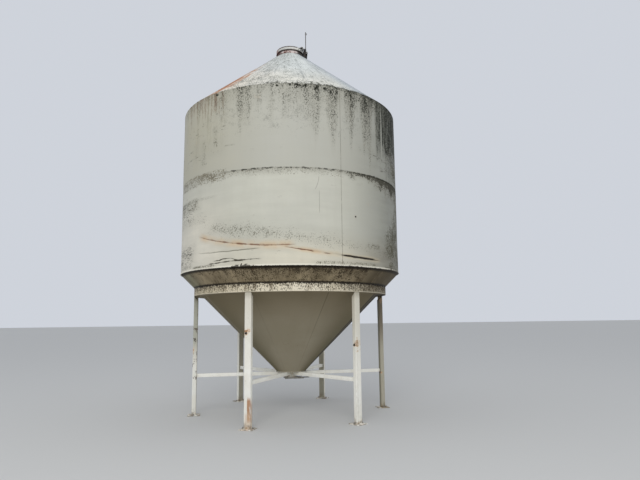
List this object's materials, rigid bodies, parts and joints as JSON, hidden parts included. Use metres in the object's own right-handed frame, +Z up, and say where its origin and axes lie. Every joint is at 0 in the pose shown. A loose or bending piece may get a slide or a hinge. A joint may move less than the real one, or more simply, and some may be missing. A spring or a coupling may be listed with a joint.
{
  "type": "hopper-bottom grain silo",
  "caption": "Smooth steel grain silo: round two-course wall, cone roof with hinged fill lid, hopper cone with slide gate, on braced tube legs.",
  "frame": {"origin": "on the ground plane, under the middle of the silo", "axes": "+Z up, -Y is the front between two legs, +X is the side the slide gate pulls out to"},
  "size_m": [4.2886, 4.2886, 7.79],
  "materials": {
    "shell_paint": "weathered cream paint, streaked with dirt and rust",
    "roof_paint": "weathered white paint with algae specks",
    "hopper_paint": "weathered cream paint, dirty on the shaded side",
    "leg_paint": "white paint, flaked and rust spotted",
    "dark_steel": "dark weathered steel",
    "worn_steel": "dull worn steel"
  },
  "bodies": {
    "silo": {"wall_lower_course": "shell_paint", "wall_upper_course": "shell_paint", "wall_drip_lip": "shell_paint", "roof_cone": "roof_paint", "fill_collar": "roof_paint", "lid_hinge_bracket": "dark_steel", "lid_hinge_pin": "worn_steel", "hopper_cone": "hopper_paint", "hopper_floor": "hopper_paint", "support_ring_band": "shell_paint", "support_ring_soffit": "hopper_paint", "leg_1": "leg_paint", "leg_2": "leg_paint", "leg_3": "leg_paint", "leg_4": "leg_paint", "leg_5": "leg_paint", "leg_6": "leg_paint", "leg_foot_plate_1": "leg_paint", "leg_foot_plate_2": "leg_paint", "leg_foot_plate_3": "leg_paint", "leg_foot_plate_4": "leg_paint", "leg_foot_plate_5": "leg_paint", "leg_foot_plate_6": "leg_paint", "leg_top_gusset_1": "leg_paint", "leg_top_gusset_2": "leg_paint", "leg_top_gusset_3": "leg_paint", "leg_top_gusset_4": "leg_paint", "leg_top_gusset_5": "leg_paint", "leg_top_gusset_6": "leg_paint", "leg_tie_1": "leg_paint", "leg_tie_2": "leg_paint", "leg_tie_3": "leg_paint", "leg_tie_4": "leg_paint", "leg_tie_5": "leg_paint", "leg_tie_6": "leg_paint", "outlet_collar": "hopper_paint", "outlet_flange": "worn_steel", "gate_rail_front": "worn_steel", "gate_rail_back": "worn_steel", "gate_stop": "worn_steel"},
    "lid": {"lid_cap": "roof_paint", "lid_strap": "dark_steel", "lid_hinge_barrel": "dark_steel", "lid_opener_lever": "dark_steel"},
    "gate": {"slide_gate": "worn_steel", "slide_gate_handle": "dark_steel"}
  },
  "joints": [
    {"name": "lid_hinge", "type": "hinge", "parent": "silo", "child": "lid", "pos_m": [0.30917, -0.1785, 7.345], "axis": [0.5, 0.866, 0], "range_deg": [0, 100]},
    {"name": "gate_slide", "type": "slide", "parent": "silo", "child": "gate", "axis": [1, 0, 0], "range_m": [0, 0.225]}
  ]
}
